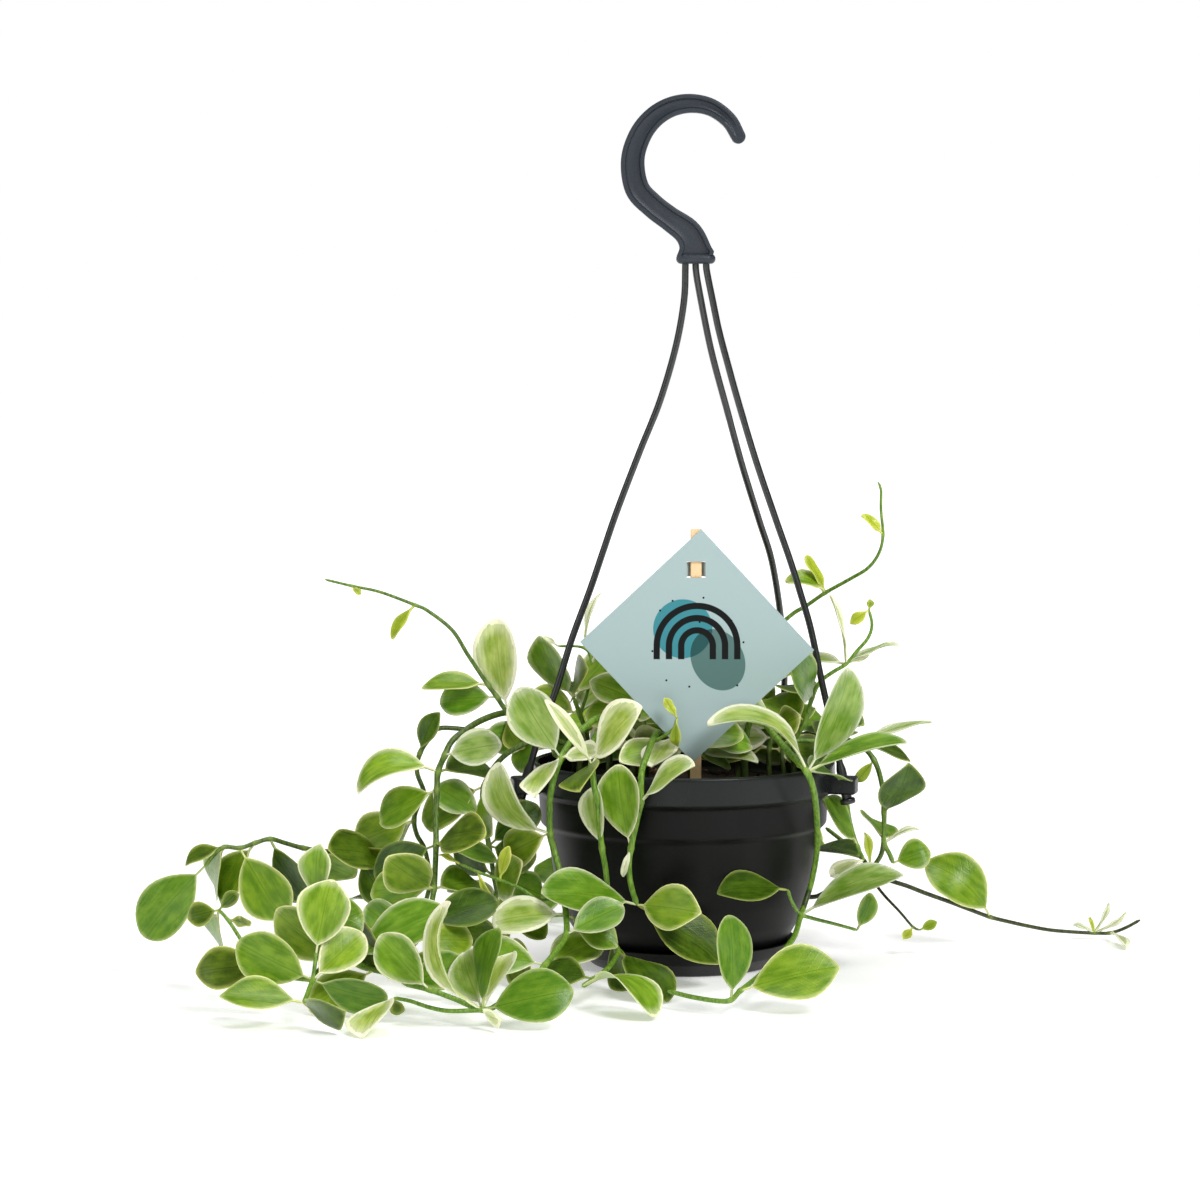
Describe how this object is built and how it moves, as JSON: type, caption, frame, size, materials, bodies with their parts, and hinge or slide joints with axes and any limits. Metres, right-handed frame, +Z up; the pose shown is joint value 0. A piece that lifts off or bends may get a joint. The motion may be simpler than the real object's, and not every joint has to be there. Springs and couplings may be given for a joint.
{
  "type": "hanging potted plant",
  "caption": "Trailing variegated dischidia in a black plastic hanging pot with a saucer, a hook on a three-leg hanger and a picture card on a stick.",
  "frame": {"origin": "centre of the saucer's underside, on the surface the pot stands on", "axes": "+Z up, -Y towards the front of the card, +X to the viewer's right"},
  "size_m": [0.4068, 0.2839, 0.3482],
  "materials": {
    "black_plastic": "satin black moulded plastic",
    "slate_plastic": "satin slate-grey moulded plastic",
    "soil": null,
    "card": null,
    "wood": "plain unvarnished light wood",
    "leaf_green": null
  },
  "bodies": {
    "root": {"saucer": "black_plastic", "pot": "black_plastic", "soil": "soil", "hook": "slate_plastic", "leg_left": "black_plastic", "leg_right": "black_plastic", "leg_rear": "black_plastic", "card": "card", "stick": "wood", "vine_left_arch": "leaf_green", "vine_left_dark": "leaf_green", "vine_left_over": "leaf_green", "vine_front_left": "leaf_green", "vine_front_mid": "leaf_green", "vine_front_right": "leaf_green", "vine_right": "leaf_green", "vine_right_up": "leaf_green", "vine_right_thin": "leaf_green", "vine_right_drop": "leaf_green", "vine_long_right": "leaf_green", "vine_back_arch": "leaf_green", "vine_rear_left": "leaf_green", "crown_left": "leaf_green", "crown_front": "leaf_green", "crown_right": "leaf_green", "crown_rear": "leaf_green", "crown_middle": "leaf_green", "crown_back_right": "leaf_green"}
  },
  "joints": []
}
